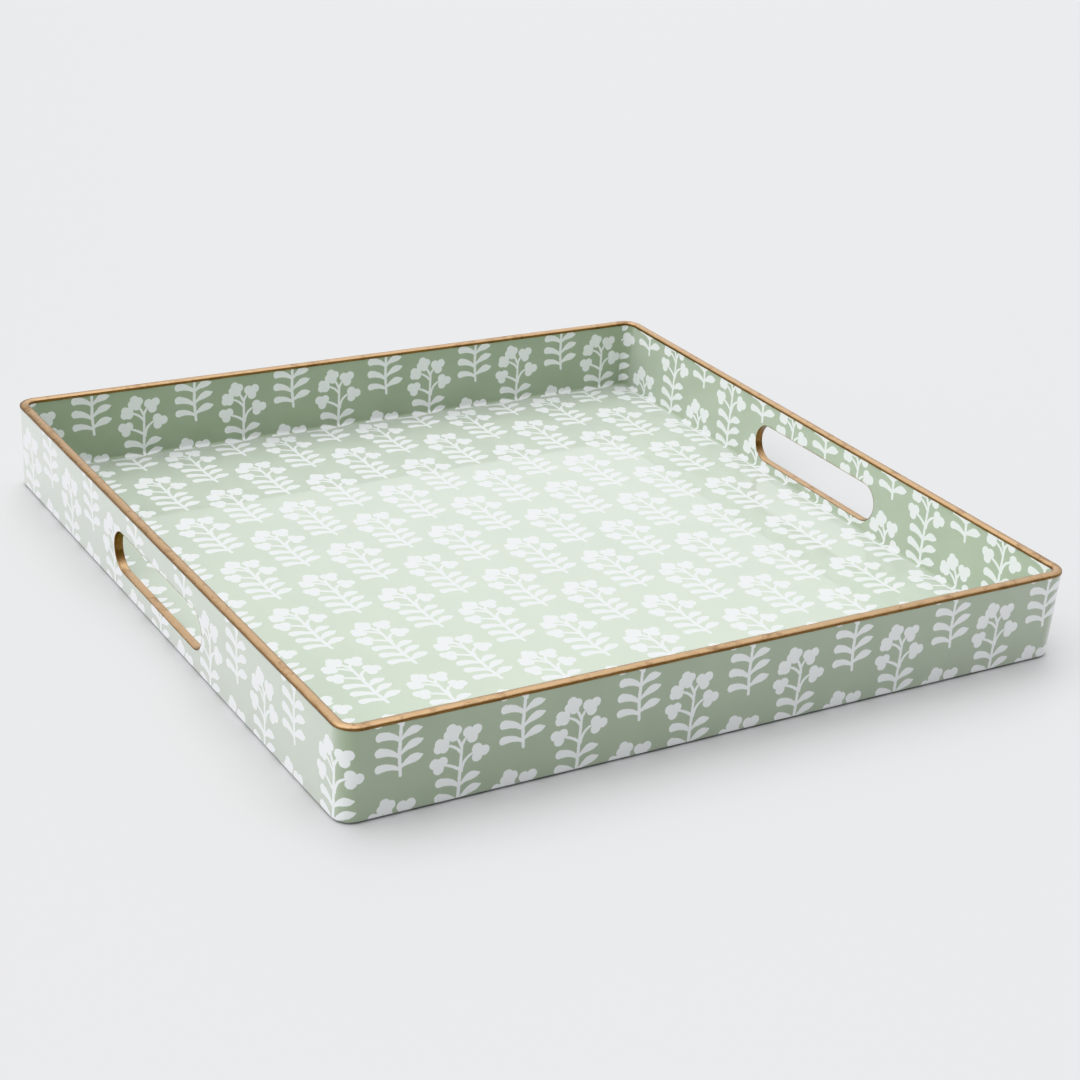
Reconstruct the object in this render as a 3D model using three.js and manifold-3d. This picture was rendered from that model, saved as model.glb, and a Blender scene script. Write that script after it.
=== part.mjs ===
// A square serving tray: fibreboard walls and base covered with printed paper under
// lacquer, a gilt half-round rim and two gilt hand slots. Millimetres, +Z up, the front
// towards -Y. The origin is in the middle of the surface that the tray stands on.

import * as THREE from 'three';
import { mergeVertices } from 'three/addons/utils/BufferGeometryUtils.js';
import Module from 'manifold-3d';

// Overall sizes
const WIDTH = 400;           // across the rim, both ways
const HEIGHT = 47.2;         // from the feet to the top of the rim
const FOOT_LIFT = 1;         // the walls' lower edge above the table
const WALL = 4.5;            // wall thickness, both papers included
const LEAN = 1.1;            // how far the walls lean outward over their height
const CORNER_RADIUS = 9;     // outside corner at the walls' lower edge

// Layers
const PAPER = 0.4;           // a sheet of paper with its coats of lacquer
const GLUE = 0.25;           // the glue line between two pieces
const FLOOR_RISE = 5.5;      // the tray's floor above the walls' lower edge
const BASE = 3.3;            // the base panel

// Rim
const RIM_HEIGHT = 2.6;      // the half-round strip on top of the walls
const RIM_CROWN = 2;         // how much of that height is rounded
const RIM_OVERHANG = 0.3;    // how far it stands past each face of the wall

// Hand slots, in the left and right walls
const SLOT_LENGTH = 109;
const SLOT_HEIGHT = 21;
const SLOT_RISE = 21.2;      // the slot's middle above the walls' lower edge

// Feet
const FOOT_RADIUS = 7;
const FOOT_HEIGHT = 1.6;
const FOOT_PLACE = 165;      // from the tray's middle, along X and along Y

// Roundness of the facets
const CORNER_STEPS = 10;     // in a quarter turn
const SLOT_STEPS = 24;       // in a half turn
const RIM_STEPS = 12;        // over the rim's crown
const FOOT_STEPS = 32;       // in a whole turn

// A box that holds any bend; a power of two, so that its faces fall exactly on the cuts
const CORNER_BOX = 64;

// Worked out from the sizes above
const OUTER_TOP = WIDTH / 2 - RIM_OVERHANG;
const OUTER_FOOT = OUTER_TOP - LEAN;
const CORNER_CENTRE = OUTER_FOOT - CORNER_RADIUS;
const WALL_TOP = HEIGHT - RIM_HEIGHT - GLUE;
const BOARD_INSET = PAPER + GLUE;
const BOARD = WALL - 2 * BOARD_INSET;
const INNER_PAPER_INSET = WALL - PAPER;
const FLOOR = FOOT_LIFT + FLOOR_RISE;
const BASE_TOP = FLOOR - PAPER - GLUE;
const UNDERSIDE = BASE_TOP - BASE - GLUE - PAPER;
const SLOT_MIDDLE = FOOT_LIFT + SLOT_RISE;

const wasm = await Module();
wasm.setup();

// Solids in and out of the boolean library

function solid(geometry) {
  const bare = geometry.clone();
  bare.deleteAttribute('normal');
  bare.deleteAttribute('uv');
  const merged = mergeVertices(bare);
  const mesh = new wasm.Mesh({
    numProp: 3,
    vertProperties: new Float32Array(merged.attributes.position.array),
    triVerts: new Uint32Array(merged.index.array),
  });
  return new wasm.Manifold(mesh);
}

function geometryOf(body) {
  const mesh = body.getMesh();
  const geometry = new THREE.BufferGeometry();
  geometry.setAttribute('position', new THREE.BufferAttribute(mesh.vertProperties, 3));
  geometry.setIndex(new THREE.BufferAttribute(mesh.triVerts, 1));
  geometry.computeVertexNormals();
  return geometry;
}

function joined(bodies) {
  return bodies.reduce((whole, body) => whole.add(body));
}

// Walls. A section is drawn as (distance from the middle of the tray, height), and the
// same section makes a straight wall or the bend round a corner. Turn 0 is the right
// wall or the back right corner, and each further turn is a quarter anticlockwise.

function outerFace(z) {
  return OUTER_FOOT + LEAN * (z - FOOT_LIFT) / (HEIGHT - FOOT_LIFT);
}

function layerSection(inset, thickness, bottom, top) {
  return [
    new THREE.Vector2(outerFace(bottom) - inset - thickness, bottom),
    new THREE.Vector2(outerFace(bottom) - inset, bottom),
    new THREE.Vector2(outerFace(top) - inset, top),
    new THREE.Vector2(outerFace(top) - inset - thickness, top),
  ];
}

function rimSection() {
  const half = WALL / 2 + RIM_OVERHANG;
  const middle = WIDTH / 2 - half;
  const spring = HEIGHT - RIM_CROWN;
  const points = [
    new THREE.Vector2(middle - half, HEIGHT - RIM_HEIGHT),
    new THREE.Vector2(middle + half, HEIGHT - RIM_HEIGHT),
  ];
  for (let i = 0; i <= RIM_STEPS; i += 1) {
    const angle = Math.PI * i / RIM_STEPS;
    points.push(new THREE.Vector2(middle + half * Math.cos(angle), spring + RIM_CROWN * Math.sin(angle)));
  }
  return points;
}

function straight(section, turn, length) {
  const geometry = new THREE.ExtrudeGeometry(new THREE.Shape(section), { depth: length, bevelEnabled: false });
  geometry.rotateX(Math.PI / 2);
  geometry.translate(0, length / 2, 0);
  geometry.rotateZ(turn * Math.PI / 2);
  return solid(geometry);
}

function bend(section, turn) {
  const profile = section.map((point) => new THREE.Vector2(point.x - CORNER_CENTRE, point.y));
  const ring = new THREE.LatheGeometry([...profile, profile[0]], 4 * CORNER_STEPS);
  ring.rotateX(Math.PI / 2);
  ring.translate(CORNER_CENTRE, CORNER_CENTRE, 0);
  const quarter = new THREE.BoxGeometry(CORNER_BOX, CORNER_BOX, 2 * CORNER_BOX);
  quarter.translate(CORNER_CENTRE + CORNER_BOX / 2, CORNER_CENTRE + CORNER_BOX / 2, 0);
  const body = geometryOf(solid(ring).intersect(solid(quarter)));
  body.rotateZ(turn * Math.PI / 2);
  return solid(body);
}

function allRound(section) {
  const turns = [0, 1, 2, 3];
  const walls = turns.map((turn) => straight(section, turn, 2 * CORNER_CENTRE));
  const corners = turns.map((turn) => bend(section, turn));
  return joined([...walls, ...corners]);
}

// Hand slots

function slotPlug(grow, turn) {
  const radius = SLOT_HEIGHT / 2 + grow;
  const reach = (SLOT_LENGTH - SLOT_HEIGHT) / 2;
  const outline = new THREE.Shape();
  outline.absarc(reach, SLOT_MIDDLE, radius, -Math.PI / 2, Math.PI / 2, false);
  outline.absarc(-reach, SLOT_MIDDLE, radius, Math.PI / 2, 3 * Math.PI / 2, false);
  outline.closePath();
  const geometry = new THREE.ExtrudeGeometry(outline, {
    depth: 4 * WALL,
    bevelEnabled: false,
    curveSegments: SLOT_STEPS,
  });
  geometry.rotateX(Math.PI / 2);
  geometry.rotateZ(Math.PI / 2);
  geometry.translate(OUTER_TOP - 3 * WALL, 0, 0);
  geometry.rotateZ(turn * Math.PI / 2);
  return solid(geometry);
}

function withoutSlot(body, turn) {
  return body.subtract(slotPlug(PAPER + GLUE, turn));
}

function gildedSlot(turn) {
  const wall = straight(layerSection(0, WALL, FOOT_LIFT, WALL_TOP), turn, 2 * CORNER_CENTRE);
  return wall.intersect(slotPlug(PAPER, turn)).subtract(slotPlug(0, turn));
}

// Flat panels

function roundedSquare(half) {
  const shape = new THREE.Shape();
  for (let turn = 0; turn < 4; turn += 1) {
    const start = turn * Math.PI / 2;
    const middle = new THREE.Vector2(CORNER_CENTRE, CORNER_CENTRE).rotateAround(new THREE.Vector2(), start);
    shape.absarc(middle.x, middle.y, half - CORNER_CENTRE, start, start + Math.PI / 2, false);
  }
  shape.closePath();
  return shape;
}

function panel(outline, bottom, thickness) {
  const geometry = new THREE.ExtrudeGeometry(outline, {
    depth: thickness,
    bevelEnabled: false,
    curveSegments: CORNER_STEPS,
  });
  geometry.translate(0, 0, bottom);
  return solid(geometry);
}

// Pieces

function sideBoard(turn) {
  const section = layerSection(BOARD_INSET, BOARD, FOOT_LIFT, WALL_TOP);
  return straight(section, turn, 2 * (CORNER_CENTRE - GLUE));
}

function cornerBlock(turn) {
  return bend(layerSection(BOARD_INSET, BOARD, FOOT_LIFT, WALL_TOP), turn);
}

function basePanel() {
  const half = outerFace(FOOT_LIFT) - BOARD_INSET - BOARD - GLUE;
  return panel(roundedSquare(half), BASE_TOP - BASE, BASE);
}

function undersideSheet() {
  const half = outerFace(FOOT_LIFT) - WALL;
  return panel(roundedSquare(half), UNDERSIDE, PAPER);
}

function floorPrint() {
  const half = outerFace(FLOOR) - WALL - GLUE;
  return panel(roundedSquare(half), FLOOR - PAPER, PAPER);
}

// The left and right strips take in the corners, and the front and back ones lie between them
function innerEndPrint(turn) {
  const section = layerSection(INNER_PAPER_INSET, PAPER, FLOOR - PAPER, WALL_TOP);
  return straight(section, turn, 2 * (CORNER_CENTRE - GLUE));
}

function innerSidePrint(turn) {
  const section = layerSection(INNER_PAPER_INSET, PAPER, FLOOR - PAPER, WALL_TOP);
  const wall = straight(section, turn, 2 * CORNER_CENTRE);
  return withoutSlot(joined([wall, bend(section, turn), bend(section, turn + 3)]), turn);
}

function outerPrint() {
  const wrap = allRound(layerSection(0, PAPER, FOOT_LIFT, WALL_TOP));
  return withoutSlot(withoutSlot(wrap, 0), 2);
}

function foot() {
  const pad = new THREE.CylinderGeometry(FOOT_RADIUS, FOOT_RADIUS, FOOT_HEIGHT, FOOT_STEPS);
  pad.rotateX(Math.PI / 2);
  pad.translate(0, 0, FOOT_HEIGHT / 2);
  return pad;
}

// Finishes

function finish(color, roughness, metalness) {
  return new THREE.MeshStandardMaterial({ color, roughness, metalness });
}

const fibreboard = () => finish(0xb08d62, 0.8, 0);
const printedPaper = () => finish(0x93a38a, 0.15, 0);
const plainPaper = () => finish(0x86967c, 0.4, 0);
const gilt = () => finish(0xc09455, 0.35, 0.8);
const felt = () => finish(0xd8cfbc, 0.95, 0);

const tray = new THREE.Group();

function add(name, geometry, material) {
  const mesh = new THREE.Mesh(geometry, material);
  mesh.name = name;
  tray.add(mesh);
  return mesh;
}

add('base_panel', geometryOf(basePanel()), fibreboard());
add('side_right', geometryOf(withoutSlot(sideBoard(0), 0)), fibreboard());
add('side_back', geometryOf(sideBoard(1)), fibreboard());
add('side_left', geometryOf(withoutSlot(sideBoard(2), 2)), fibreboard());
add('side_front', geometryOf(sideBoard(3)), fibreboard());

const corners = ['back_right', 'back_left', 'front_left', 'front_right'];
corners.forEach((place, turn) => {
  add(`corner_${place}`, geometryOf(cornerBlock(turn)), fibreboard());
});

add('print_floor', geometryOf(floorPrint()), printedPaper());
add('print_inner_right', geometryOf(innerSidePrint(0)), printedPaper());
add('print_inner_back', geometryOf(innerEndPrint(1)), printedPaper());
add('print_inner_left', geometryOf(innerSidePrint(2)), printedPaper());
add('print_inner_front', geometryOf(innerEndPrint(3)), printedPaper());
add('print_outer', geometryOf(outerPrint()), printedPaper());
add('gilt_rim', geometryOf(allRound(rimSection())), gilt());
add('gilt_slot_right', geometryOf(gildedSlot(0)), gilt());
add('gilt_slot_left', geometryOf(gildedSlot(2)), gilt());
add('underside_sheet', geometryOf(undersideSheet()), plainPaper());

corners.forEach((place, turn) => {
  const pad = add(`foot_${place}`, foot(), felt());
  pad.position.set(FOOT_PLACE, FOOT_PLACE, 0);
  pad.position.applyAxisAngle(new THREE.Vector3(0, 0, 1), turn * Math.PI / 2);
});

export default tray;
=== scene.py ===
# Looks for the square serving tray: printed paper under gloss lacquer over fibreboard,
# a gilt rim and two gilt hand slots. Metres, +Z up, the front towards -Y.

import math
import bpy
import bmesh
from mathutils import Matrix, Vector, noise


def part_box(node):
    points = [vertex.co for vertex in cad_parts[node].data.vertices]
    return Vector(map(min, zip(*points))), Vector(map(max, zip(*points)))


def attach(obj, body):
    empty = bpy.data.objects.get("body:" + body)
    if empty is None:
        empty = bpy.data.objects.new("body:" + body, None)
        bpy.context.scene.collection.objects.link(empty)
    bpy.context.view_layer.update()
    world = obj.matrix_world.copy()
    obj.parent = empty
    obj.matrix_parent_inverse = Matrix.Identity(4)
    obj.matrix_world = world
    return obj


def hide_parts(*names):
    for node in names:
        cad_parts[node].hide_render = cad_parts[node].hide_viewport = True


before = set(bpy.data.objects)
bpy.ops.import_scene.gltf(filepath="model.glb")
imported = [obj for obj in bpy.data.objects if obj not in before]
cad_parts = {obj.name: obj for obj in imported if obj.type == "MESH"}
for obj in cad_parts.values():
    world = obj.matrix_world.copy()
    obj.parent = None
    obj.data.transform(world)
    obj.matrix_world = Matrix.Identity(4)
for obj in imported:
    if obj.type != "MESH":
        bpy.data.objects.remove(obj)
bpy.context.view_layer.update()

MM = 0.001

# ---------------------------------------------------------------------------
# Sizes taken from the frame, and the few that shape the visible skins
# ---------------------------------------------------------------------------

OUTER_LOW, OUTER_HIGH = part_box("print_outer")
FLOOR_LOW, FLOOR_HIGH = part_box("print_floor")
RIM_LOW, RIM_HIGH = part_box("gilt_rim")
SLOT_LOW, SLOT_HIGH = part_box("gilt_slot_right")
SHEET_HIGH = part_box("underside_sheet")[1]

WALL = 4.5 * MM                 # wall thickness with its papers
PAPER = 0.4 * MM
LEAN = 1.1 * MM                 # how far the walls lean out from the lower edge to the rim's top
CORNER_RADIUS = 9 * MM          # outside corner at the lower edge
LEAN_RISE = RIM_HIGH.z - OUTER_LOW.z
LOWER_HALF = OUTER_HIGH.x - LEAN * (OUTER_HIGH.z - OUTER_LOW.z) / LEAN_RISE
CORNER = LOWER_HALF - CORNER_RADIUS        # the corners' vertical axes stand at (+-CORNER, +-CORNER)
PAPER_RISE = 1.1 * MM           # how far the papers run up over the sides of the rim's core
PAPER_TOP = OUTER_HIGH.z + PAPER_RISE
FLOOR = FLOOR_HIGH.z

COVE = 1.6 * MM                 # lacquer fillet where the walls meet the floor
COVE_TOE = 0.9 * MM             # its thin edge on the floor
COVE_LIFT = 0.03 * MM           # its thickness where it runs out onto the floor
COVE_GAP = 0.08 * MM            # from the floor sheet's edge to the back of the fillet
LOWER_ROUND = 0.9 * MM          # rounding of the walls' lower edge
FRONT_LAP = 15.8 * MM           # how far the front paper's print runs on along the left wall
PLAIN_EDGE = 6.2 * MM           # its unprinted edge beyond that
PLAIN_END = 4.2 * MM            # and the one at its other end, round the front right corner
TURN_UNDER = 0.2 * MM           # paper under the boards' lower edges
TURN_ROUND = 0.3 * MM           # rounding where it turns up inside them
TURN_GAP = 0.1 * MM             # between it and the sheet on the underside
HAIR = 0.02 * MM                # clearance that keeps two faces from coinciding

RIM_HALF = 2.5 * MM             # half the rim's width; the waver of its edge takes up the rest
RIM_CROWN = 1.1 * MM
RIM_SKIRT = 0.2 * MM            # how far the gilding runs down over the papers' top edge
RIM_WAVER = 0.1 * MM            # unevenness of the hand-laid gilding's edge
RIM_CORE = 1.75 * MM            # half width of the strip between the papers
RIM_TUCK = 0.08 * MM            # how far the skirts' lower edges are rolled in
RIM_SWAY = 0.06 * MM            # depth of the long waves along the rim
RIM_RIPPLE = 0.035 * MM         # and of the short ones

SLOT_HALF_LENGTH = SLOT_HIGH.y - PAPER
SLOT_RADIUS = (SLOT_HIGH.z - SLOT_LOW.z) / 2 - PAPER
SLOT_MIDDLE = (SLOT_HIGH.z + SLOT_LOW.z) / 2
SLOT_REACH = SLOT_HALF_LENGTH - SLOT_RADIUS
SLOT_EDGE = 0.45 * MM           # rounding of the slot's edges
SLOT_LIP = 0.5 * MM             # gilding that laps onto the wall's faces
SLOT_UNEVEN = 0.1 * MM          # unevenness of its edge
SLOT_SKIN = 0.09 * MM           # how far the lapped gilding stands proud
SLOT_LINING = 0.3 * MM          # thickness of the lining

FOOT_EDGE = 0.45 * MM           # rounding of a foot's lower edge
FOOT_TOP_EDGE = 0.15 * MM       # and of its upper one
FOOT_FUZZ = 0.06 * MM           # unevenness of the cut felt

CORNER_STEPS = 16               # in a quarter turn
EDGE_STEPS = 8                  # in a rounded edge
SLOT_STEPS = 32                 # in a half turn of the slot's cut
LINING_STEPS = 48               # in a half turn of its lining
RIM_STEPS = 24                  # across the rim's crown
RIM_STATIONS = 160              # along one side of the rim
FOOT_STEPS = 64                 # round a foot

# ---------------------------------------------------------------------------
# The print: sprigs in a half-drop repeat, all in millimetres on the paper
# ---------------------------------------------------------------------------

COLUMN = 29.875                 # from one column of sprigs to the next
REPEAT = 58.7                   # from one sprig to the next in a column
SPRIG_MIDDLE = (-0.4, 24.6)     # the middle of a sprig, from the lower tip of its stem

# Where each paper's print starts: (along, up) in millimetres to the lower tip of a sprig that
# has its head inside the strip, then how much the damp paper stretched or shrank as it was
# pasted down. The outer right and back ones are narrowed, so that their seams fall between sprigs.
PLACING = {
    "floor": ((-17.2, -2.5), (0.9975, 0.9932)),
    "inner_back": ((-6.4, -6.5), (1.0135, 1.0)),
    "inner_right": ((37.4, 4.7), (1.0, 1.0)),
    "inner_front": ((12.0, -2.0), (1.0, 1.0)),
    "inner_left": ((-20.0, 2.0), (1.0, 1.0)),
    "outer_front": ((-22.9, -9.5), (1.0, 1.0)),
    "outer_right": ((0.6, -9.9), (0.9767, 1.0)),
    "outer_back": ((15.15, -9.9), (0.9791, 1.0)),
    "outer_left": ((64.3, -10.7), (1.0, 1.0)),
}

BARE_PLACE = (0.0, 52.0)        # a place on the paper between the sprigs

# Strokes: start, middle of the rounded end, half width at each, how far the middle bows to the
# left of its way, and how much wider the stroke is two thirds along
STROKES = [
    # the stem
    ((1.1, -0.6), (0.0, 10.0), (0.75, 0.9), 0.0, 0.0),
    ((0.0, 10.0), (0.2, 37.0), (0.9, 0.65), 0.0, 0.0),
    # round leaves on the left
    ((0.2, 2.7), (-9.1, 4.6), (0.8, 2.15), -0.9, 0.0),
    ((0.0, 8.7), (-9.3, 12.5), (0.8, 2.35), -0.9, 0.0),
    ((0.0, 16.7), (-9.3, 20.1), (0.85, 2.35), -1.1, 0.0),
    # pointed leaves on the right
    ((0.8, 3.4), (10.9, 7.4), (0.8, 0.6), 0.9, 1.6),
    ((0.7, 10.1), (10.5, 15.1), (0.8, 0.55), 1.0, 1.45),
    ((0.6, 17.1), (9.7, 21.0), (0.8, 0.55), 1.2, 1.5),
    # flower stalks
    ((0.3, 24.4), (-9.5, 29.2), (0.8, 0.6), -0.7, 0.0),
    ((0.0, 33.0), (-8.5, 38.3), (0.75, 0.55), -1.2, 0.0),
    ((-0.1, 36.3), (-4.2, 43.0), (0.75, 0.6), -0.3, 0.0),
    ((0.1, 36.3), (4.4, 41.8), (0.75, 0.6), 0.8, 0.0),
    ((0.9, 24.0), (8.0, 32.3), (0.8, 0.6), 2.2, 0.0),
]
# Blossoms: middle, petals, how far out they stand, their radius, degrees to the first one
BLOSSOMS = [
    ((-10.6, 29.3), 3, 2.1, 2.6, 33.0),
    ((-9.7, 38.5), 4, 1.8, 2.35, 40.0),
    ((-4.8, 43.9), 4, 2.1, 2.45, 20.0),
    ((4.9, 41.8), 3, 2.3, 2.6, 35.0),
    ((9.1, 31.6), 3, 2.3, 2.6, 5.0),
]
INK_EDGE = 0.28                 # width of the ink's soft edge
INK_WAVER = 0.42                # unevenness of the block's edge

SAGE = (0.279, 0.378, 0.208)
SAGE_DEEP = (0.245, 0.339, 0.180)
INK = (0.820, 0.856, 0.835)
INK_THIN = (0.690, 0.725, 0.690)
GOLD = (0.270, 0.167, 0.082)
# pale gold of the painted highlight on faces turned upward
GOLD_PAINTED_HIGHLIGHT = (0.455, 0.309, 0.178)
GOLD_WORN = (0.150, 0.078, 0.032)
BOARD_PALE = (0.500, 0.350, 0.200)
BOARD_DARK = (0.330, 0.215, 0.115)
FELT_PALE = (0.720, 0.660, 0.540)
FELT_DARK = (0.560, 0.500, 0.395)
PLAIN_PAPER = (0.240, 0.308, 0.198)
PLAIN_PAPER_DEEP = (0.205, 0.268, 0.168)

# The clear coat, and the pale haze that it shows at a flat angle
LACQUER = {
    "IOR": 1.5,
    "Specular IOR Level": 0.45,
    "Coat Weight": 1.0,
    "Coat Roughness": 0.05,
    "Coat IOR": 1.45,
    "Sheen Weight": 1.0,
    "Sheen Roughness": 0.67,
    "Sheen Tint": (0.970, 0.950, 1.0, 1.0),
}
NAP = {"Sheen Weight": 0.4, "Sheen Roughness": 0.5}

# ---------------------------------------------------------------------------
# Node trees
# ---------------------------------------------------------------------------


class Wiring:
    """Adds nodes to one node tree; each method returns the new node's output."""

    def __init__(self, tree):
        self.tree = tree

    def plug(self, socket, value):
        if isinstance(value, bpy.types.NodeSocket):
            self.tree.links.new(value, socket)
        elif isinstance(value, tuple) and len(value) == 3 and socket.type == "RGBA":
            socket.default_value = (*value, 1.0)
        else:
            socket.default_value = value

    def node(self, kind, inputs=(), **settings):
        node = self.tree.nodes.new(kind)
        for name, value in settings.items():
            setattr(node, name, value)
        for name, value in dict(inputs).items():
            self.plug(node.inputs[name], value)
        return node

    def math(self, operation, *values, clamp=False):
        node = self.node("ShaderNodeMath", operation=operation, use_clamp=clamp)
        for socket, value in zip(node.inputs, values):
            self.plug(socket, value)
        return node.outputs[0]

    def vector(self, operation, *values):
        node = self.node("ShaderNodeVectorMath", operation=operation)
        for socket, value in zip(node.inputs, values):
            self.plug(socket, value)
        return node.outputs["Value" if operation in ("DOT_PRODUCT", "LENGTH") else "Vector"]

    def pair(self, x, y):
        return self.node("ShaderNodeCombineXYZ", {"X": x, "Y": y}).outputs[0]

    def split(self, vector):
        return self.node("ShaderNodeSeparateXYZ", {"Vector": vector}).outputs

    def noise(self, vector, scale, detail=2.0, roughness=0.5, dimensions="3D"):
        inputs = {"Vector": vector, "Scale": scale, "Detail": detail, "Roughness": roughness}
        return self.node("ShaderNodeTexNoise", inputs, noise_dimensions=dimensions).outputs["Fac"]

    def ramp(self, value, low, high, start=0.0, end=1.0):
        inputs = {"Value": value, "From Min": low, "From Max": high, "To Min": start, "To Max": end}
        return self.node("ShaderNodeMapRange", inputs, clamp=True).outputs["Result"]

    def ease(self, value, low, high, start, end):
        result = self.ramp(value, low, high, start, end)
        result.node.interpolation_type = "SMOOTHSTEP"
        return result

    def mix(self, share, first, second):
        node = self.node("ShaderNodeMix", data_type="RGBA", blend_type="MIX")
        self.plug(node.inputs["Factor"], share)
        self.plug(node.inputs[6], first)
        self.plug(node.inputs[7], second)
        return node.outputs[2]

    def bump(self, height, distance, strength=1.0, normal=None):
        inputs = {"Height": height, "Distance": distance, "Strength": strength}
        if normal is not None:
            inputs["Normal"] = normal
        return self.node("ShaderNodeBump", inputs).outputs[0]


def stroke(wiring, point, start, end, widths, bend, bulge):
    """Distance to a tapered stroke of the print."""
    a = Vector(start)
    along = Vector(end) - a
    length = along.length
    step = along / length
    aside = Vector((-step.y, step.x))
    local = wiring.vector("SUBTRACT", point, (*a, 0.0))
    unit = (*(step / length), 0.0)
    share = wiring.math("ADD", wiring.vector("DOT_PRODUCT", local, unit), 0.0, clamp=True)
    width = wiring.math("MULTIPLY_ADD", share, widths[1] - widths[0], widths[0])
    if bend:
        rest = wiring.math("SUBTRACT", 1.0, share)
        bow = wiring.math("MULTIPLY", share, rest)
        spine = wiring.vector("MULTIPLY_ADD", bow, (*(aside * 4 * bend), 0.0), (0.0, 0.0, 0.0))
        local = wiring.vector("SUBTRACT", local, spine)
        if bulge:
            late = wiring.math("MULTIPLY", bow, share)
            width = wiring.math("MULTIPLY_ADD", late, 6.75 * bulge, width)
    miss = wiring.vector("MULTIPLY_ADD", share, (*(-along), 0.0), local)
    return wiring.math("SUBTRACT", wiring.vector("LENGTH", miss), width)


def blossom(wiring, point, middle, petals, spread, radius, turn):
    """Distance to a blossom of a few round petals that run together."""
    nearest = None
    for petal in range(petals):
        angle = math.radians(turn + 360 * petal / petals)
        x = middle[0] + spread * math.cos(angle)
        y = middle[1] + spread * math.sin(angle)
        reach = wiring.vector("LENGTH", wiring.vector("SUBTRACT", point, (x, y, 0.0)))
        nearest = reach if nearest is None else wiring.math("MINIMUM", nearest, reach)
    return wiring.math("SUBTRACT", nearest, radius)


def sprig_print():
    """Node group: a place on the paper in, the share of white ink there out."""
    group = bpy.data.node_groups.new("sprig_print", "ShaderNodeTree")
    group.interface.new_socket("Paper", in_out="INPUT", socket_type="NodeSocketVector")
    group.interface.new_socket("Ink", in_out="OUTPUT", socket_type="NodeSocketFloat")
    wiring = Wiring(group)
    paper = wiring.node("NodeGroupInput").outputs[0]
    place = wiring.vector("SCALE", paper)
    place.node.inputs["Scale"].default_value = 1 / MM

    # Fold the whole paper onto one sprig
    left = COLUMN / 2 - SPRIG_MIDDLE[0]
    below = REPEAT / 2 - SPRIG_MIDDLE[1]
    x, y, _ = wiring.split(place)
    shifted = wiring.math("ADD", x, left)
    column = wiring.math("FLOOR", wiring.math("DIVIDE", shifted, COLUMN))
    drop = wiring.math("MULTIPLY", wiring.math("FLOORED_MODULO", column, 2.0), REPEAT / 2)
    local_x = wiring.math("SUBTRACT", wiring.math("FLOORED_MODULO", shifted, COLUMN), left)
    raised = wiring.math("ADD", wiring.math("SUBTRACT", y, drop), below)
    local_y = wiring.math("SUBTRACT", wiring.math("FLOORED_MODULO", raised, REPEAT), below)
    point = wiring.pair(local_x, local_y)

    shapes = [stroke(wiring, point, *numbers) for numbers in STROKES]
    shapes += [blossom(wiring, point, *numbers) for numbers in BLOSSOMS]
    distance = shapes[0]
    for shape in shapes[1:]:
        distance = wiring.math("MINIMUM", distance, shape)

    waver = wiring.noise(place, 0.75, 2.0, 0.55, "2D")
    uneven = wiring.math("MULTIPLY_ADD", waver, INK_WAVER, -INK_WAVER / 2)
    edge = wiring.math("ADD", distance, uneven)
    ink = wiring.ramp(edge, INK_EDGE / 2, -INK_EDGE / 2)
    wiring.node("NodeGroupOutput", {"Ink": ink})
    return group


def new_material(name):
    """A new material, the wiring of its nodes and its Principled shader's node."""
    material = bpy.data.materials.new(name)
    material.use_nodes = True
    shader = material.node_tree.nodes["Principled BSDF"]
    return material, Wiring(material.node_tree), shader


def set_inputs(shader, values):
    """Sets the shader's plain inputs, by their names."""
    for name, value in values.items():
        shader.inputs[name].default_value = value


def printed_paper():
    """Sage paper with white block-printed sprigs, brushed over with clear gloss lacquer."""
    material, wiring, shader = new_material("printed_paper")
    paper = wiring.node("ShaderNodeUVMap", uv_map="print").outputs[0]
    solid = wiring.node("ShaderNodeTexCoord").outputs["Object"]
    ink = wiring.node("ShaderNodeGroup", {}, node_tree=sprig_print())
    wiring.plug(ink.inputs[0], paper)

    cloudy = wiring.noise(solid, 28.0, 3.0, 0.55)
    grain = wiring.noise(solid, 2600.0, 2.0, 0.6)
    fibres = wiring.noise(wiring.vector("MULTIPLY", paper, (500.0, 2400.0, 1.0)), 1.0, 3.0, 0.6, "2D")
    tone = wiring.math("ADD", cloudy, wiring.math("MULTIPLY_ADD", grain, 0.35, -0.175))
    ground = wiring.mix(wiring.ramp(tone, 0.3, 0.72), SAGE, SAGE_DEEP)
    thin = wiring.math("ADD", wiring.math("MULTIPLY", fibres, 0.6), wiring.math("MULTIPLY", cloudy, 0.4))
    white = wiring.mix(wiring.ramp(thin, 0.56, 0.9, 0.0, 0.7), INK, INK_THIN)
    wiring.plug(shader.inputs["Base Color"], wiring.mix(ink.outputs[0], ground, white))

    # The lacquer lies in long low waves with a fine brushed skin, over the paper's grain
    waves = wiring.noise(solid, 26.0, 2.0, 0.5)
    skin = wiring.noise(solid, 420.0, 2.0, 0.5)
    height = wiring.math("MULTIPLY_ADD", skin, 0.012, waves)
    lacquer = wiring.bump(height, 0.16 * MM)
    wiring.plug(shader.inputs["Normal"], wiring.bump(grain, 0.01 * MM, 0.6, lacquer))
    wiring.plug(shader.inputs["Coat Normal"], lacquer)
    wiring.plug(shader.inputs["Roughness"], wiring.ramp(grain, 0.3, 0.7, 0.42, 0.5))
    set_inputs(shader, LACQUER)
    return material


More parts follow.
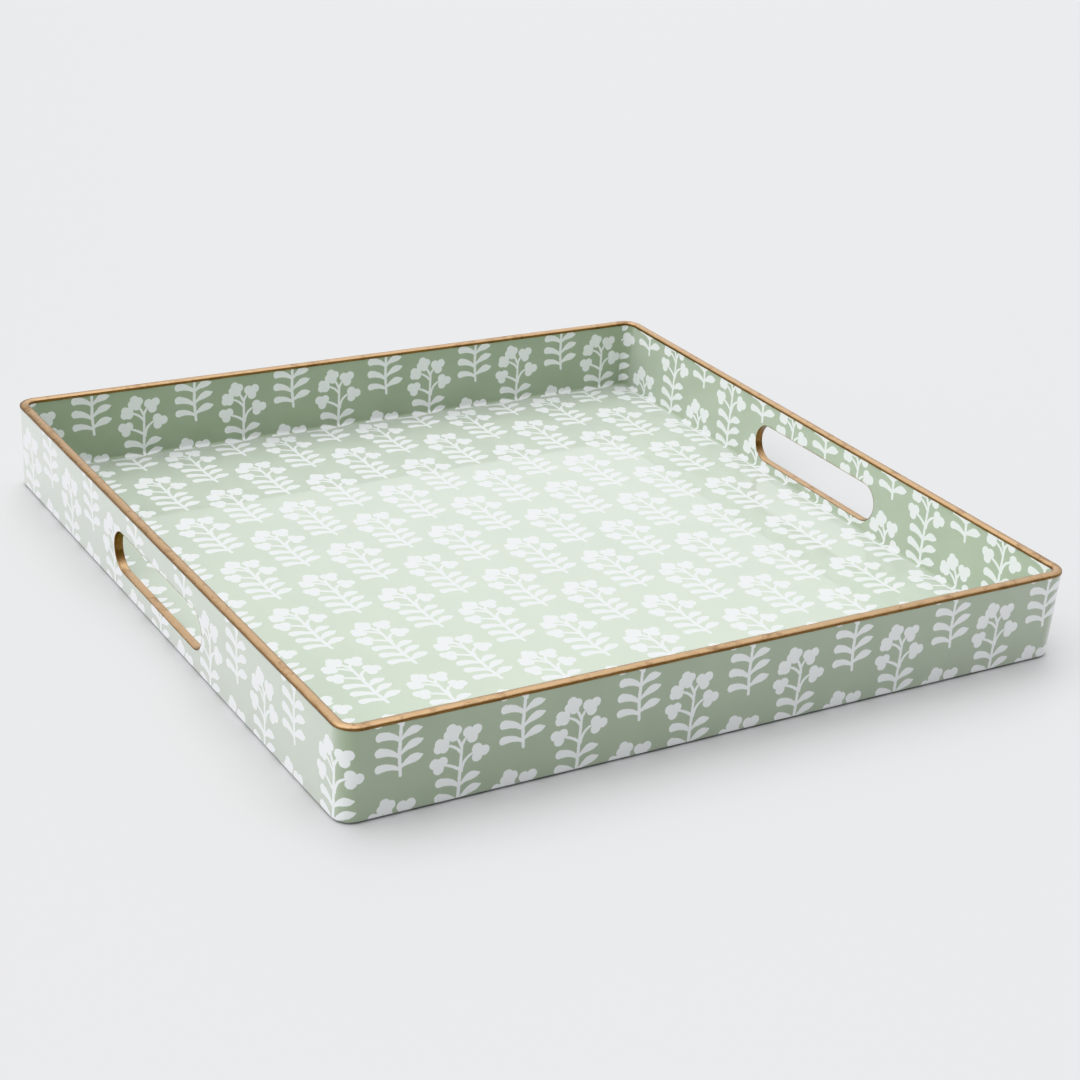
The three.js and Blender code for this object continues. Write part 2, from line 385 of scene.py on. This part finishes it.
def gilt():
    """Antique gold paint, brushed on by hand: brown in patches, with a painted highlight that pales the
    faces turned up and leaves the sides and undersides darker gold.
    """
    material, wiring, shader = new_material("gilt")
    place = wiring.node("ShaderNodeTexCoord")
    solid = place.outputs["Object"]
    along = wiring.node("ShaderNodeUVMap", uv_map="print").outputs[0]
    strokes = wiring.noise(wiring.vector("MULTIPLY", along, (140.0, 1500.0, 1.0)), 1.0, 3.0, 0.6, "2D")
    patches = wiring.noise(solid, 95.0, 4.0, 0.62)
    specks = wiring.noise(solid, 900.0, 2.0, 0.6)
    # Painted highlight: faces turned up are mixed towards the pale gold and the sides and undersides
    # stay darker, standing in for how the light falls on the crown
    upward = wiring.split(place.outputs["Normal"])[2]
    uneven = wiring.math("MULTIPLY_ADD", patches, 1.0, wiring.math("MULTIPLY_ADD", strokes, 0.6, -0.8))
    painted_highlight = wiring.ease(wiring.math("ADD", upward, uneven), 0.25, 1.05, 0.0, 1.0)
    metal = wiring.mix(painted_highlight, GOLD, GOLD_PAINTED_HIGHLIGHT)
    stain = wiring.math("ADD", patches, wiring.math("MULTIPLY_ADD", specks, 0.35, -0.175))
    stained = wiring.ramp(stain, 0.45, 0.72, 0.0, 0.95)
    # Patina from the stains, made thinner where the painted highlight lies, so the top reads lighter
    # still
    patina_and_painted_highlight = wiring.math("MULTIPLY_ADD", painted_highlight, -0.3, stained, clamp=True)
    wiring.plug(shader.inputs["Base Color"], wiring.mix(patina_and_painted_highlight, metal, GOLD_WORN))
    wiring.plug(shader.inputs["Metallic"], wiring.ramp(patina_and_painted_highlight, 0.0, 1.0, 0.95, 0.6))
    wiring.plug(shader.inputs["Roughness"], wiring.ramp(stain, 0.35, 0.7, 0.25, 0.45))
    grit = wiring.math("MULTIPLY", specks, 0.35)
    height = wiring.math("MULTIPLY_ADD", strokes, 0.5, grit)
    wiring.plug(shader.inputs["Normal"], wiring.bump(height, 0.09 * MM))
    return material


def fibreboard():
    """Bare medium-density fibreboard: fine pressed fibres, a little darker in flecks."""
    material, wiring, shader = new_material("fibreboard")
    solid = wiring.node("ShaderNodeTexCoord").outputs["Object"]
    fibres = wiring.noise(wiring.vector("MULTIPLY", solid, (900.0, 900.0, 2600.0)), 1.0, 4.0, 0.65)
    clouds = wiring.noise(solid, 60.0, 3.0, 0.5)
    tone = wiring.math("ADD", fibres, wiring.math("MULTIPLY_ADD", clouds, 0.4, -0.2))
    colour = wiring.mix(wiring.ramp(tone, 0.35, 0.7), BOARD_PALE, BOARD_DARK)
    wiring.plug(shader.inputs["Base Color"], colour)
    wiring.plug(shader.inputs["Roughness"], wiring.ramp(fibres, 0.3, 0.7, 0.75, 0.92))
    wiring.plug(shader.inputs["Normal"], wiring.bump(fibres, 0.08 * MM))
    return material


def plain_paper():
    """Plain sage paper pasted under the base, with the faint weave and fibres of its sheet."""
    material, wiring, shader = new_material("plain_paper")
    solid = wiring.node("ShaderNodeTexCoord").outputs["Object"]
    fibres = wiring.noise(wiring.vector("MULTIPLY", solid, (420.0, 1500.0, 1.0)), 1.0, 4.0, 0.6)
    clouds = wiring.noise(solid, 18.0, 3.0, 0.55)
    tone = wiring.math("ADD", clouds, wiring.math("MULTIPLY_ADD", fibres, 0.5, -0.25))
    colour = wiring.mix(wiring.ramp(tone, 0.32, 0.7), PLAIN_PAPER, PLAIN_PAPER_DEEP)
    wiring.plug(shader.inputs["Base Color"], colour)
    wiring.plug(shader.inputs["Roughness"], wiring.ramp(fibres, 0.3, 0.7, 0.42, 0.56))
    wiring.plug(shader.inputs["Normal"], wiring.bump(fibres, 0.03 * MM))
    return material


def felt():
    """Pressed felt: matted hairs with a soft nap."""
    material, wiring, shader = new_material("felt")
    solid = wiring.node("ShaderNodeTexCoord").outputs["Object"]
    hairs = wiring.noise(wiring.vector("MULTIPLY", solid, (2200.0, 700.0, 1500.0)), 1.0, 5.0, 0.7)
    clumps = wiring.noise(solid, 500.0, 3.0, 0.6)
    tone = wiring.math("ADD", hairs, wiring.math("MULTIPLY_ADD", clumps, 0.6, -0.3))
    colour = wiring.mix(wiring.ramp(tone, 0.35, 0.7), FELT_PALE, FELT_DARK)
    wiring.plug(shader.inputs["Base Color"], colour)
    wiring.plug(shader.inputs["Roughness"], wiring.ramp(hairs, 0.3, 0.7, 0.9, 1.0))
    wiring.plug(shader.inputs["Normal"], wiring.bump(tone, 0.2 * MM))
    set_inputs(shader, NAP)
    return material


PRINTED_PAPER = printed_paper()
GILT = gilt()
FIBREBOARD = fibreboard()
PLAIN = plain_paper()
FELT = felt()

# ---------------------------------------------------------------------------
# Meshes
# ---------------------------------------------------------------------------


def outer_face(z):
    """How far the walls' outer face is from the middle of the tray at height z."""
    return LOWER_HALF + LEAN * (z - OUTER_LOW.z) / LEAN_RISE


def inner_face(z):
    return outer_face(z) - WALL


def arc(middle, radius, start, end, steps):
    """Points round a middle, from one angle in degrees to another."""
    angles = [math.radians(start + (end - start) * i / steps) for i in range(steps + 1)]
    return [(middle[0] + radius * math.cos(a), middle[1] + radius * math.sin(a)) for a in angles]


def side_stations(turn, steps, corner_before=False, corner_after=False):
    """Stations along one side, anticlockwise: a base point with the way out from it.

    Turn 0 is the right side and each further turn is a quarter anticlockwise. The corner
    before the side and the corner after it may be taken in."""
    stations = []
    if corner_before:
        for i in range(CORNER_STEPS):
            angle = -math.pi / 2 * (1 - i / CORNER_STEPS)
            stations.append((Vector((CORNER, -CORNER)), Vector((math.cos(angle), math.sin(angle)))))
    for i in range(steps + 1):
        y = CORNER * (2 * i / steps - 1)
        stations.append((Vector((CORNER, y)), Vector((1.0, 0.0))))
    if corner_after:
        for i in range(1, CORNER_STEPS + 1):
            angle = math.pi / 2 * i / CORNER_STEPS
            stations.append((Vector((CORNER, CORNER)), Vector((math.cos(angle), math.sin(angle)))))
    spin = Matrix.Rotation(turn * math.pi / 2, 2)
    return [(spin @ base, spin @ out) for base, out in stations]


def ring_stations(steps):
    """Stations round the whole tray, each side followed by the corner after it."""
    stations = []
    for turn in range(4):
        stations += side_stations(turn, steps, corner_after=True)[:-1]
    return stations


def piece(name, bm, material, body="root"):
    """Turns a finished bmesh into a piece that rides on the tray."""
    bmesh.ops.recalc_face_normals(bm, faces=bm.faces)
    mesh = bpy.data.meshes.new(name)
    bm.to_mesh(mesh)
    bm.free()
    obj = bpy.data.objects.new(name, mesh)
    bpy.context.scene.collection.objects.link(obj)
    mesh.materials.append(material)
    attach(obj, body)
    return obj


def sweep(stations, section, closed):
    """A bmesh of a closed section (distance from the middle, height) carried along stations."""
    bm = bmesh.new()
    rows = []
    for base, out in stations:
        row = []
        for reach, height in section:
            spot = base + out * (reach - CORNER)
            row.append(bm.verts.new((spot.x, spot.y, height)))
        rows.append(row)
    count = len(section)
    pairs = list(zip(rows, rows[1:]))
    if closed:
        pairs.append((rows[-1], rows[0]))
    for row, following in pairs:
        for i in range(count):
            j = (i + 1) % count
            bm.faces.new((row[i], row[j], following[j], following[i]))
    if not closed:
        bm.faces.new(rows[0])
        bm.faces.new(list(reversed(rows[-1])))
    return bm


def smooth(obj, degrees):
    """Smooth shading, with edges sharper than an angle kept crisp."""
    mesh = obj.data
    limit = math.radians(degrees)
    bm = bmesh.new()
    bm.from_mesh(mesh)
    for face in bm.faces:
        face.smooth = True
    for edge in bm.edges:
        edge.smooth = len(edge.link_faces) == 2 and edge.calc_face_angle(0.0) < limit
    bm.to_mesh(mesh)
    bm.free()


def lay_print(obj, unroll):
    """Writes the print's UV layer: unroll(point, face middle) gives (along, up) in metres."""
    mesh = obj.data
    layer = mesh.uv_layers.new(name="print")
    for polygon in mesh.polygons:
        for loop in polygon.loop_indices:
            point = mesh.vertices[mesh.loops[loop].vertex_index].co
            layer.data[loop].uv = unroll(point, polygon.center)


def printed_at(placing, along, up):
    """Moves and stretches a place on a strip to its place in the print."""
    (start_along, start_up), (stretch_along, stretch_up) = PLACING[placing]
    return (along - start_along * MM) / stretch_along, (up - start_up * MM) / stretch_up


def side_of(x, y):
    """Which side a point belongs to: 0 right, 1 back, 2 left, 3 front."""
    if abs(x) >= abs(y):
        return 0 if x > 0 else 2
    return 1 if y > 0 else 3


def along_side(point, turn, radius):
    """How far a point is along a side, anticlockwise from its middle, round the corners too."""
    local = Matrix.Rotation(-turn * math.pi / 2, 2) @ Vector((point.x, point.y))
    past = abs(local.y) - CORNER
    if past <= 0:
        return local.y
    angle = math.atan2(past, max(local.x - CORNER, 0.0))
    beyond = max(CORNER - local.x, 0.0)
    return math.copysign(CORNER + radius * angle + beyond, local.y)


def reach_of(point, turn):
    """How far out from the middle of the tray a point of a side is, corners unrolled."""
    local = Matrix.Rotation(-turn * math.pi / 2, 2) @ Vector((point.x, point.y))
    past = max(abs(local.y) - CORNER, 0.0)
    return CORNER + math.hypot(max(local.x - CORNER, 0.0), past)


# Floor


def floor_print():
    """The flat sheet on the base, with its rounded corners under the cove."""
    section = [(FLOOR_HIGH.x, FLOOR_LOW.z), (FLOOR_HIGH.x, FLOOR)]
    bm = bmesh.new()
    rings = []
    for reach, height in section:
        ring = []
        for base, out in ring_stations(1):
            spot = base + out * (reach - CORNER)
            ring.append(bm.verts.new((spot.x, spot.y, height)))
        rings.append(ring)
    count = len(rings[0])
    for i in range(count):
        j = (i + 1) % count
        bm.faces.new((rings[0][i], rings[0][j], rings[1][j], rings[1][i]))
    bm.faces.new(rings[1])
    bm.faces.new(list(reversed(rings[0])))
    obj = piece("floor_paper", bm, PRINTED_PAPER)
    lay_print(obj, lambda point, _: printed_at("floor", point.x, point.y))
    smooth(obj, 30)
    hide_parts("print_floor")
    return obj


# Walls


def inner_section():
    """Down the wall's inner face, round the cove, out to its thin toe and back up behind."""
    low = FLOOR + COVE_LIFT
    cove_middle = (inner_face(low + COVE) - COVE, low + COVE)
    cove = arc(cove_middle, COVE, 0, -90, EDGE_STEPS)
    behind = FLOOR_HIGH.x + COVE_GAP
    toe = cove_middle[0] - COVE_TOE
    section = [(inner_face(PAPER_TOP), PAPER_TOP)]
    section.append((inner_face(low + 2 * COVE), low + 2 * COVE))
    section += cove
    section.append((toe, FLOOR + COVE_LIFT / 2))
    section.append((toe, FLOOR))
    section.append((behind, FLOOR))
    section.append((behind, FLOOR_LOW.z))
    section.append((inner_face(FLOOR_LOW.z) + PAPER, FLOOR_LOW.z))
    section.append((inner_face(PAPER_TOP) + PAPER, PAPER_TOP))
    return section


def outer_section():
    """Down the wall's outer face, round its lower edge, under the boards and up inside them."""
    bottom = OUTER_LOW.z - TURN_UNDER
    edge_middle = (outer_face(bottom + LOWER_ROUND) - LOWER_ROUND, bottom + LOWER_ROUND)
    edge = arc(edge_middle, LOWER_ROUND, 0, -90, EDGE_STEPS)
    inside = SHEET_HIGH.x + TURN_GAP
    section = [(outer_face(PAPER_TOP), PAPER_TOP)]
    section.append((outer_face(bottom + 2 * LOWER_ROUND), bottom + 2 * LOWER_ROUND))
    section += edge
    section.append((inside + 2 * TURN_ROUND, bottom))
    section += arc((inside + TURN_ROUND, bottom + TURN_ROUND), TURN_ROUND, -90, -180, 3)
    section.append((inside, SHEET_HIGH.z))
    section.append((inside + PAPER, SHEET_HIGH.z))
    section.append((inside + PAPER, OUTER_LOW.z - HAIR))
    section.append((outer_face(OUTER_LOW.z) - PAPER - TURN_ROUND, OUTER_LOW.z - HAIR))
    section.append((outer_face(OUTER_LOW.z + 0.5 * MM) - PAPER, OUTER_LOW.z + 0.5 * MM))
    section.append((outer_face(PAPER_TOP) - PAPER, PAPER_TOP))
    return section


def slot_outline(grow, steps=SLOT_STEPS):
    """The hand slot's outline, grown outward: (along, height) points, anticlockwise."""
    right = arc((SLOT_REACH, SLOT_MIDDLE), SLOT_RADIUS + grow, -90, 90, steps)
    left = arc((-SLOT_REACH, SLOT_MIDDLE), SLOT_RADIUS + grow, 90, 270, steps)
    return right + left


def cut_slots(obj, turns):
    """Cuts the hand slots of the given sides through a piece."""
    for turn in turns:
        bm = bmesh.new()
        rows = []
        for reach in (OUTER_HIGH.x - 3 * WALL, OUTER_HIGH.x + WALL):
            rows.append([bm.verts.new((reach, y, z)) for y, z in slot_outline(PAPER)])
        bm.faces.new(rows[0])
        bm.faces.new(list(reversed(rows[1])))
        count = len(rows[0])
        for i in range(count):
            j = (i + 1) % count
            bm.faces.new((rows[0][i], rows[0][j], rows[1][j], rows[1][i]))
        bm.transform(Matrix.Rotation(turn * math.pi / 2, 4, "Z"))
        bmesh.ops.recalc_face_normals(bm, faces=bm.faces)
        mesh = bpy.data.meshes.new("slot_cutter")
        bm.to_mesh(mesh)
        bm.free()
        cutter = bpy.data.objects.new("slot_cutter", mesh)
        bpy.context.scene.collection.objects.link(cutter)
        cut = obj.modifiers.new("slot", "BOOLEAN")
        cut.operation = "DIFFERENCE"
        cut.solver = "EXACT"
        cut.object = cutter
        bpy.context.view_layer.update()
        graph = bpy.context.evaluated_depsgraph_get()
        result = bpy.data.meshes.new_from_object(obj.evaluated_get(graph))
        obj.modifiers.clear()
        obj.data = result
        bpy.data.objects.remove(cutter)


def inner_strip(name, node, turn, corners, placing):
    """One wall's inner paper; the side strips take in the corners and have the slot."""
    stations = side_stations(turn, 1, corners, corners)
    obj = piece(name, sweep(stations, inner_section(), closed=False), PRINTED_PAPER)
    if corners:
        cut_slots(obj, [turn])
    radius = inner_face(SLOT_MIDDLE) - CORNER

    def unroll(point, _):
        flat = inner_face(point.z) - reach_of(point, turn)
        up = point.z - max(flat, 0.0)
        return printed_at(placing, -along_side(point, turn, radius), up)

    lay_print(obj, unroll)
    smooth(obj, 30)
    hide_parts(node)
    return obj


OUTER_SIDES = ["outer_right", "outer_back", "outer_left", "outer_front"]


def outer_wrap():
    """The paper round the outside: the front and back papers run round the corners."""
    stations = []
    for turn in range(4):
        side = side_stations(turn, 1, corner_after=True)[:-1]
        if turn == 2:
            back, front = side[0][0], side[1][0]
            way = (back - front).normalized()
            for reach in (FRONT_LAP, FRONT_LAP + PLAIN_EDGE):
                side.insert(1, (front + way * reach, side[0][1]))
        stations += side
    obj = piece("outer_paper", sweep(stations, outer_section(), closed=True),
                PRINTED_PAPER)
    cut_slots(obj, [0, 2])
    radius = outer_face(SLOT_MIDDLE) - CORNER
    bare = (BARE_PLACE[0] * MM, BARE_PLACE[1] * MM)
    print_end = CORNER + radius * math.pi / 2 - PLAIN_END

    def unroll(point, middle):
        turn = side_of(middle.x, middle.y)
        if abs(middle.x) > CORNER and abs(middle.y) > CORNER:
            # The corners belong to the back and front papers
            turn = 1 if middle.y > 0 else 3
        past = middle.y + CORNER
        if turn == 2 and FRONT_LAP < past < FRONT_LAP + PLAIN_EDGE:
            return bare
        if turn == 2 and past < FRONT_LAP:
            turn = 3
        if turn == 3 and along_side(middle, 3, radius) > print_end:
            return bare
        flat = outer_face(point.z) - reach_of(point, turn)
        up = point.z - max(flat, 0.0)
        return printed_at(OUTER_SIDES[turn], along_side(point, turn, radius), up)

    lay_print(obj, unroll)
    smooth(obj, 30)
    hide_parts("print_outer")
    return obj


# Gilding


def rim_section():
    """A low round crown with skirts over the papers' top edges, and a core between the papers."""
    middle = OUTER_HIGH.x - WALL / 2
    spring = RIM_HIGH.z - RIM_CROWN
    foot = PAPER_TOP - RIM_SKIRT
    section = []
    for i in range(RIM_STEPS + 1):
        angle = math.pi * i / RIM_STEPS
        section.append((middle + RIM_HALF * math.cos(angle), spring + RIM_CROWN * math.sin(angle)))
    skirt = [(RIM_HALF, foot + 0.15 * MM), (RIM_HALF - RIM_TUCK, foot)]
    core = [(RIM_CORE, foot + 0.05 * MM), (RIM_CORE, RIM_LOW.z - 0.1 * MM)]
    section += [(middle - away, height) for away, height in skirt + core]
    section += [(middle + away, height) for away, height in reversed(skirt + core)]
    return section


def rim():
    """The gilt strip on top of the walls, with the small unevenness of hand work."""
    bm = sweep(ring_stations(RIM_STATIONS), rim_section(), closed=True)
    for vertex in bm.verts:
        spot = vertex.co
        sway = noise.noise(spot * 90.0) * RIM_SWAY
        ripple = noise.noise(spot * 420.0) * RIM_RIPPLE
        lower = spot.z < PAPER_TOP - 0.1 * MM
        drip = noise.noise(spot * 160.0) * RIM_WAVER if lower else 0.0
        spot.z += min(sway, 0.0) + min(ripple, 0.0) + drip
    obj = piece("gilded_rim", bm, GILT)
    radius = OUTER_HIGH.x - WALL / 2 - CORNER

    def unroll(point, middle):
        turn = side_of(middle.x, middle.y)
        return along_side(point, turn, radius), point.z + reach_of(point, turn)

    lay_print(obj, unroll)
    smooth(obj, 50)
    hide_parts("gilt_rim")
    return obj


def lining_section(lip):
    """Across the wall from its outer face (side 1) to its inner one (side -1) and back inside.

    Each point is (side, how proud of that face, how far from the slot's outline)."""
    face = [(1, HAIR, lip), (1, SLOT_SKIN, SLOT_EDGE)]
    steps = EDGE_STEPS // 2
    for i in range(1, steps + 1):
        angle = math.pi / 2 * i / steps
        proud = SLOT_SKIN - SLOT_EDGE * (1 - math.cos(angle))
        face.append((1, proud, SLOT_EDGE * (1 - math.sin(angle))))
    back = [(-side, proud, away) for side, proud, away in reversed(face)]
    inside = [(-1, 0.0, lip), (-1, 0.0, SLOT_LINING), (1, 0.0, SLOT_LINING), (1, 0.0, lip)]
    return face + back + inside


def slot_lining(name, node, turn):
    """Gilding through a hand slot, rounded over both edges and lapped onto the faces."""
    bm = bmesh.new()
    rows = []
    outline = slot_outline(0.0, LINING_STEPS)
    count = len(outline)
    for i in range(count):
        here = Vector(outline[i])
        middle = Vector((SLOT_REACH if i <= LINING_STEPS else -SLOT_REACH, SLOT_MIDDLE))
        out = (here - middle).normalized()
        uneven = noise.noise(Vector((here.x, here.y, turn)) * 260.0) * SLOT_UNEVEN
        across = lining_section(SLOT_LIP + uneven)
        row = []
        for side, proud, away in across:
            spot = here + out * away
            face = outer_face(spot.y) if side > 0 else inner_face(spot.y)
            row.append(bm.verts.new((face + side * proud, spot.x, spot.y)))
        rows.append(row)
    size = len(rows[0])
    for k in range(count):
        row, following = rows[k], rows[(k + 1) % count]
        for i in range(size):
            j = (i + 1) % size
            bm.faces.new((row[i], row[j], following[j], following[i]))
    bm.transform(Matrix.Rotation(turn * math.pi / 2, 4, "Z"))
    obj = piece(name, bm, GILT)

    def unroll(point, _):
        return point.y + point.x * 0.2, point.z + point.x

    lay_print(obj, unroll)
    smooth(obj, 40)
    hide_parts(node)
    return obj


# Feet


def foot(name, node):
    """A round felt pad with a softened lower edge and a faintly uneven rim."""
    low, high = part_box(node)
    middle = (low + high) / 2
    radius = (high.x - low.x) / 2
    section = [(0.0, 0.0), (radius * 0.6, 0.0)]
    section += arc((radius - FOOT_EDGE, FOOT_EDGE), FOOT_EDGE, -90, 0, 6)
    section += arc((radius - FOOT_TOP_EDGE, high.z - FOOT_TOP_EDGE), FOOT_TOP_EDGE, 0, 90, 3)
    section.append((0.0, high.z))
    bm = bmesh.new()
    rings = []
    for reach, height in section:
        if reach == 0.0:
            rings.append([bm.verts.new((middle.x, middle.y, height))])
            continue
        ring = []
        for i in range(FOOT_STEPS):
            angle = 2 * math.pi * i / FOOT_STEPS
            way = Vector((math.cos(angle), math.sin(angle), 0.0))
            place = Vector((way.x, way.y, height * 900.0)) * 6.0
            spot = way * (reach - abs(noise.noise(place)) * FOOT_FUZZ)
            ring.append(bm.verts.new((middle.x + spot.x, middle.y + spot.y, height)))
        rings.append(ring)
    for lower, upper in zip(rings, rings[1:]):
        for i in range(FOOT_STEPS):
            j = (i + 1) % FOOT_STEPS
            if len(lower) == 1:
                bm.faces.new((lower[0], upper[i], upper[j]))
            elif len(upper) == 1:
                bm.faces.new((lower[i], lower[j], upper[0]))
            else:
                bm.faces.new((lower[i], lower[j], upper[j], upper[i]))
    obj = piece(name, bm, FELT)
    smooth(obj, 60)
    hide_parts(node)
    return obj


floor_print()
inner_strip("inner_paper_right", "print_inner_right", 0, True, "inner_right")
inner_strip("inner_paper_back", "print_inner_back", 1, False, "inner_back")
inner_strip("inner_paper_left", "print_inner_left", 2, True, "inner_left")
inner_strip("inner_paper_front", "print_inner_front", 3, False, "inner_front")
outer_wrap()
rim()
slot_lining("slot_lining_right", "gilt_slot_right", 0)
slot_lining("slot_lining_left", "gilt_slot_left", 2)
for place in ("back_right", "back_left", "front_left", "front_right"):
    foot(f"felt_foot_{place}", f"foot_{place}")

for name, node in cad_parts.items():
    if name.startswith(("base_", "side_", "corner_")):
        node.data.materials.clear()
        node.data.materials.append(FIBREBOARD)
    if name == "underside_sheet":
        node.data.materials.clear()
        node.data.materials.append(PLAIN)

# ---------------------------------------------------------------------------
# Camera, light and floor
# ---------------------------------------------------------------------------

TRAY_WIDTH = RIM_HIGH.x - RIM_LOW.x
VIEW_HEADING = 32.554           # degrees from +Y towards +X that the camera looks
VIEW_DROP = 24.268              # degrees that it looks down
VIEW_ROLL = 4.324               # degrees that its right side is raised
VIEW_DISTANCE = 3.0654 * TRAY_WIDTH
VIEW_AIM = (0.0698 * TRAY_WIDTH, 0.0458 * TRAY_WIDTH, OUTER_LOW.z)
LENS = 76.0                     # millimetres on a 36 mm sensor

TABLE_HALF = 30.0               # so wide that a low view doesn't see its edge
TABLE_WHITE = 0.61

COOL = (0.990, 0.995, 1.014)    # colour of the daylight
ROOM_LOW = 0.02                 # brightness of the room where no glow reaches
# The room's light as broad glows: heading from the back, height (degrees), gather, brightness
GLOWS = [
    (0.0, 90.0, 5.0, 1.28),
    (180.0, 30.0, 3.0, 0.34),
    (0.0, 66.0, 6.0, 2.15),
    (32.0, 22.0, 14.0, 1.20),
    (-78.0, 25.0, 4.0, 2.25),
    (90.0, 25.0, 4.0, 1.00),
]


def camera():
    """Looks down over the front left corner, slightly rolled, and from far enough to flatten it."""
    heading = math.radians(VIEW_HEADING)
    drop = math.radians(VIEW_DROP)
    roll = math.radians(VIEW_ROLL)
    level_reach = math.cos(drop)
    ahead = Vector((math.sin(heading) * level_reach, math.cos(heading) * level_reach, -math.sin(drop)))
    level = ahead.cross(Vector((0, 0, 1))).normalized()
    upright = level.cross(ahead)
    right = math.cos(roll) * level + math.sin(roll) * upright
    up = -math.sin(roll) * level + math.cos(roll) * upright
    data = bpy.data.cameras.new("camera")
    data.lens = LENS
    data.sensor_width = 36.0
    data.clip_start = 0.05
    obj = bpy.data.objects.new("camera", data)
    bpy.context.scene.collection.objects.link(obj)
    turn = Matrix((right, up, -ahead)).transposed().to_4x4()
    obj.matrix_world = Matrix.Translation(Vector(VIEW_AIM) - ahead * VIEW_DISTANCE) @ turn
    bpy.context.scene.camera = obj


def room():
    """The light all round: a soft white room, without a lamp."""
    world = bpy.data.worlds.new("room")
    bpy.context.scene.world = world
    world.use_nodes = True
    wiring = Wiring(world.node_tree)
    way = wiring.node("ShaderNodeTexCoord").outputs["Generated"]
    strength = ROOM_LOW
    for heading, height, gather, brightness in GLOWS:
        turn, climb = math.radians(heading), math.radians(height)
        axis = (math.sin(turn) * math.cos(climb), math.cos(turn) * math.cos(climb), math.sin(climb))
        towards = wiring.math("MAXIMUM", wiring.vector("DOT_PRODUCT", way, axis), 0.0)
        glow = wiring.math("POWER", towards, gather)
        strength = wiring.math("MULTIPLY_ADD", glow, brightness, strength)
    background = world.node_tree.nodes["Background"]
    wiring.plug(background.inputs["Strength"], strength)
    background.inputs["Color"].default_value = (*COOL, 1.0)


def table():
    """The plain pale surface that the tray stands on."""
    bm = bmesh.new()
    bmesh.ops.create_grid(bm, x_segments=40, y_segments=40, size=TABLE_HALF)
    mesh = bpy.data.meshes.new("table")
    bm.to_mesh(mesh)
    bm.free()
    obj = bpy.data.objects.new("table", mesh)
    bpy.context.scene.collection.objects.link(obj)
    material, _, shader = new_material("table")
    shader.inputs["Base Color"].default_value = (TABLE_WHITE, TABLE_WHITE, TABLE_WHITE, 1.0)
    shader.inputs["Roughness"].default_value = 0.55
    mesh.materials.append(material)


camera()
room()
table()
bpy.context.scene.view_settings.view_transform = "Khronos PBR Neutral"
